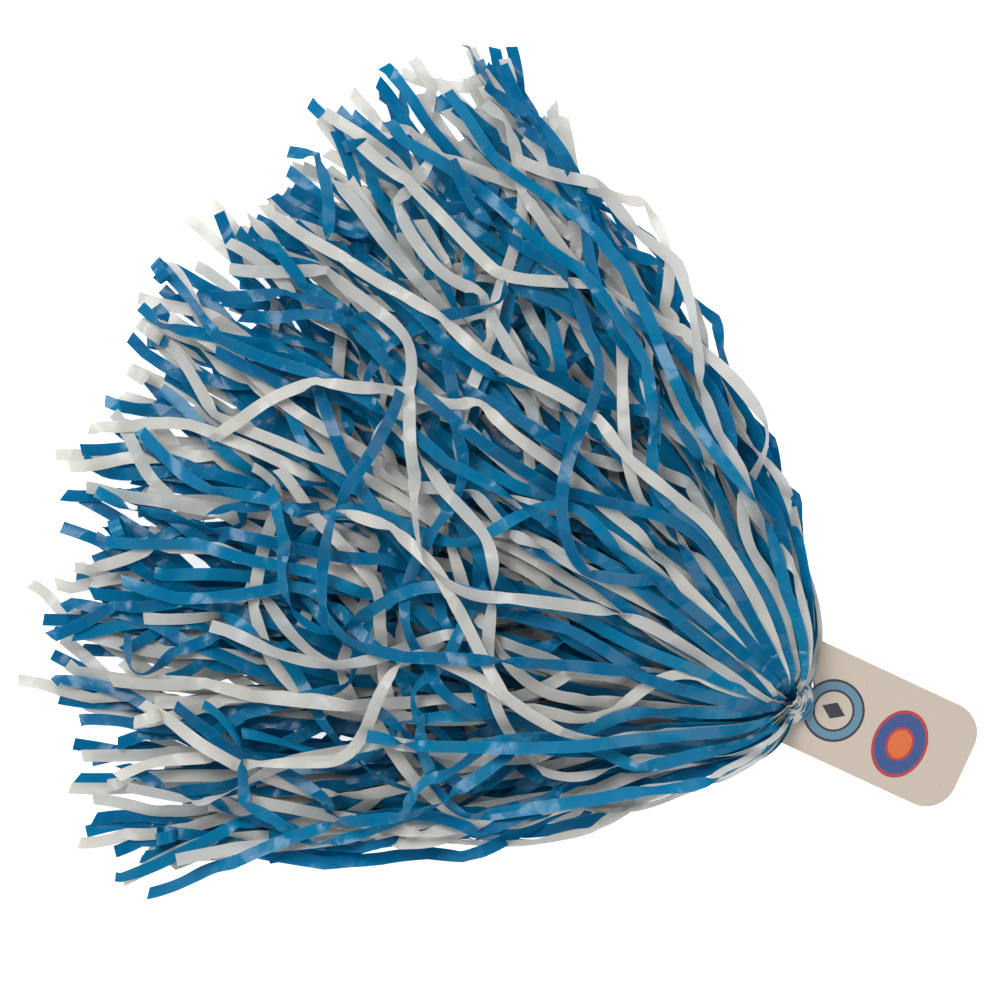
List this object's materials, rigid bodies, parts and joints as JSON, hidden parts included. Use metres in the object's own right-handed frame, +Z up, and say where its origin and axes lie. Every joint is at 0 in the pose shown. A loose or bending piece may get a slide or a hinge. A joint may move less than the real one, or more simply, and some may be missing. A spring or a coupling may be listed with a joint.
{
  "type": "cheer pom pom",
  "caption": "Cheer pom pom with a flat paddle handle and a fan of glossy blue and white film streamers looped through its hole.",
  "frame": {"origin": "middle of the underside of the whole object as it lies on its side", "axes": "+Z up from the surface that it lies on, the handle points along -Y and the streamers fan out towards +Y"},
  "size_m": [0.3628, 0.3844, 0.0492],
  "materials": {
    "handle_plastic": "matte",
    "white_film": "satin",
    "blue_film": "satin",
    "core_film": "satin"
  },
  "bodies": {
    "handle": {"paddle_handle": "handle_plastic", "streamer_core": "core_film"},
    "front_left": {"front_left_white_inner": "white_film", "front_left_blue_inner": "blue_film", "front_left_white_outer": "white_film", "front_left_blue_outer": "blue_film"},
    "front_middle": {"front_middle_white_inner": "white_film", "front_middle_blue_inner": "blue_film", "front_middle_white_outer": "white_film", "front_middle_blue_outer": "blue_film"},
    "front_right": {"front_right_white_inner": "white_film", "front_right_blue_inner": "blue_film", "front_right_white_outer": "white_film", "front_right_blue_outer": "blue_film"},
    "back_left": {"back_left_white_lower": "white_film", "back_left_blue_lower": "blue_film", "back_left_white_upper": "white_film", "back_left_blue_upper": "blue_film"},
    "back_right": {"back_right_white_lower": "white_film", "back_right_blue_lower": "blue_film", "back_right_white_upper": "white_film", "back_right_blue_upper": "blue_film"}
  },
  "joints": [
    {"name": "front_left_lift", "type": "hinge", "parent": "handle", "child": "front_left", "pos_m": [0, -0.11385, 0.016], "axis": [1, 0, 0], "range_deg": [0, 120]},
    {"name": "front_middle_lift", "type": "hinge", "parent": "handle", "child": "front_middle", "pos_m": [0, -0.11385, 0.016], "axis": [1, 0, 0], "range_deg": [0, 120]},
    {"name": "front_right_lift", "type": "hinge", "parent": "handle", "child": "front_right", "pos_m": [0, -0.11385, 0.016], "axis": [1, 0, 0], "range_deg": [0, 120]},
    {"name": "back_left_swing", "type": "hinge", "parent": "handle", "child": "back_left", "pos_m": [0, -0.11385, 0.008], "axis": [0, 0, 1], "range_deg": [0, 25]},
    {"name": "back_right_swing", "type": "hinge", "parent": "handle", "child": "back_right", "pos_m": [0, -0.11385, 0.008], "axis": [0, 0, -1], "range_deg": [0, 25]}
  ]
}
